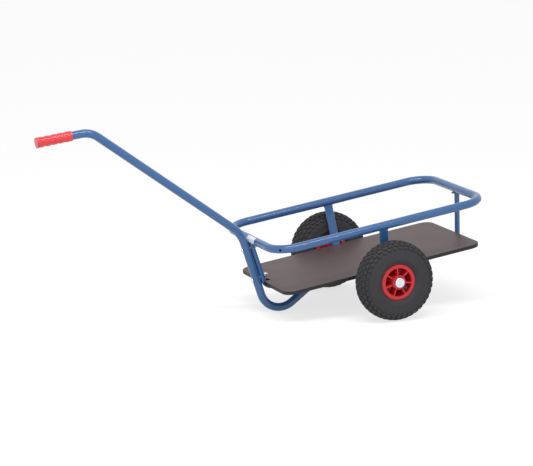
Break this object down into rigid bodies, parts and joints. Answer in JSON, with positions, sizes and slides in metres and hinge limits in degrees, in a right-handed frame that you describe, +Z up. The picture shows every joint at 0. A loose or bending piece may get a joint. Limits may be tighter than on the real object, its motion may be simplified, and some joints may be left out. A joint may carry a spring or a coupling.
{
  "type": "platform hand cart",
  "caption": "Two-wheeled platform hand cart with a plywood deck inside a tubular guard rail, pneumatic wheels and a long bent drawbar with a grip that also forms the parking foot.",
  "frame": {"origin": "on the floor, at the middle of the cart's length and width, as it stands parked on its wheels and foot", "axes": "+X towards the rear of the deck, away from the grip; +Y to the cart's right-hand side, along the axle; +Z up"},
  "size_m": [1.487, 0.61, 0.65],
  "materials": {
    "blue_paint": "glossy powder coat",
    "zinc": "bright zinc plate",
    "rim_red": "satin moulded plastic",
    "grip_red": "glossy soft PVC",
    "tyre_black": "matt rubber",
    "valve_black": "matt rubber",
    "bush_grey": "moulded plastic",
    "deck_ply": "brown phenolic film on birch plywood"
  },
  "bodies": {
    "frame": {"rail_loop": "blue_paint", "drawbar": "blue_paint", "grip": "grip_red", "drawbar_saddle": "blue_paint", "saddle_bolts": "zinc", "drawbar_bolt_upper": "zinc", "drawbar_bolt_lower": "zinc", "front_strut": "blue_paint", "rear_strut": "blue_paint", "rear_run": "blue_paint", "deck_bearer_front": "blue_paint", "deck_bearer_rear": "blue_paint", "axle_beam": "blue_paint", "deck_board": "deck_ply", "axle": "zinc", "side_post_left": "blue_paint", "axle_spacer_left": "zinc", "axle_washer_left": "zinc", "axle_cap_left": "zinc", "side_post_right": "blue_paint", "axle_spacer_right": "zinc", "axle_washer_right": "zinc", "axle_cap_right": "zinc"},
    "wheel_left": {"tyre_left": "tyre_black", "rim_outer_left": "rim_red", "rim_inner_left": "rim_red", "hub_bush_left": "bush_grey", "valve_left": "valve_black"},
    "wheel_right": {"tyre_right": "tyre_black", "rim_outer_right": "rim_red", "rim_inner_right": "rim_red", "hub_bush_right": "bush_grey", "valve_right": "valve_black"}
  },
  "joints": [
    {"name": "left_wheel_spin", "type": "hinge", "parent": "frame", "child": "wheel_left", "pos_m": [0.37831, -0.258, 0.13], "axis": [0, 1, 0], "continuous": true},
    {"name": "right_wheel_spin", "type": "hinge", "parent": "frame", "child": "wheel_right", "pos_m": [0.37831, 0.258, 0.13], "axis": [0, 1, 0], "continuous": true}
  ]
}
